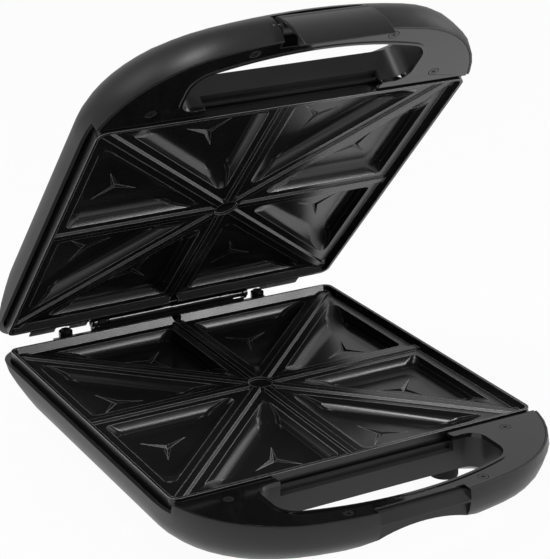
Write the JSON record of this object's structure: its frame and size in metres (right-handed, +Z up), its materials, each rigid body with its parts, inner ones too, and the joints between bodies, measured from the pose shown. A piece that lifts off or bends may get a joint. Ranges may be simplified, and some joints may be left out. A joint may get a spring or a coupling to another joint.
{
  "type": "sandwich toaster",
  "caption": "Hinged countertop sandwich toaster: two plates with triangular pockets in black casings, loop handles and a swinging latch.",
  "frame": {"origin": "on the table, under the middle of the toaster with its lid at the stored opening", "axes": "+X to the right seen from the handle side, +Y from the handle towards the hinge, +Z up"},
  "size_m": [0.26, 0.3399, 0.3063],
  "materials": {
    "casing_black": "fine-grained satin moulding",
    "deck_gloss": "polished piano black",
    "nonstick": "dark non-stick coating over die casting",
    "element_steel": "heat-tinted tube",
    "tray_steel": "bright aluminised sheet",
    "screw_steel": "plated, dull",
    "hinge_black": "dark glossy lacquer on pressed steel",
    "pin_steel": "ground",
    "foot_rubber": "matte",
    "ceramic": "unglazed ceramic",
    "board": "laminate",
    "lens_red": "clear tinted",
    "lens_green": "clear tinted"
  },
  "bodies": {
    "base": {"base_casing": "casing_black", "base_deck": "deck_gloss", "lower_plate": "nonstick", "lower_element": "element_steel", "lower_reflector": "tray_steel", "base_deck_screws": "screw_steel", "base_tray_screws": "screw_steel", "base_feet": "foot_rubber", "base_hinge": "hinge_black", "base_hinge_screws": "screw_steel", "hinge_pin": "pin_steel", "hinge_spring": "pin_steel", "thermal_fuse": "ceramic", "terminal_block": "ceramic", "cord_gland": "casing_black"},
    "lid": {"lid_casing": "casing_black", "lid_deck": "deck_gloss", "upper_plate": "nonstick", "upper_element": "element_steel", "upper_reflector": "tray_steel", "lid_deck_screws": "screw_steel", "lid_tray_screws": "screw_steel", "lid_hinge": "hinge_black", "lid_hinge_screws": "screw_steel", "thermostat": "ceramic", "lamp_board": "board", "power_lens": "lens_red", "ready_lens": "lens_green", "latch_pin": "pin_steel"},
    "latch": {"latch": "casing_black"}
  },
  "joints": [
    {"name": "lid_hinge", "type": "hinge", "parent": "base", "child": "lid", "pos_m": [0, 0.161, 0.0517], "axis": [-1, 0, 0], "range_deg": [-47.42, 52]},
    {"name": "latch_pivot", "type": "hinge", "parent": "lid", "child": "latch", "pos_m": [0, -0.0532, 0.30071], "axis": [-1, 0, 0], "range_deg": [-24, 50]}
  ]
}
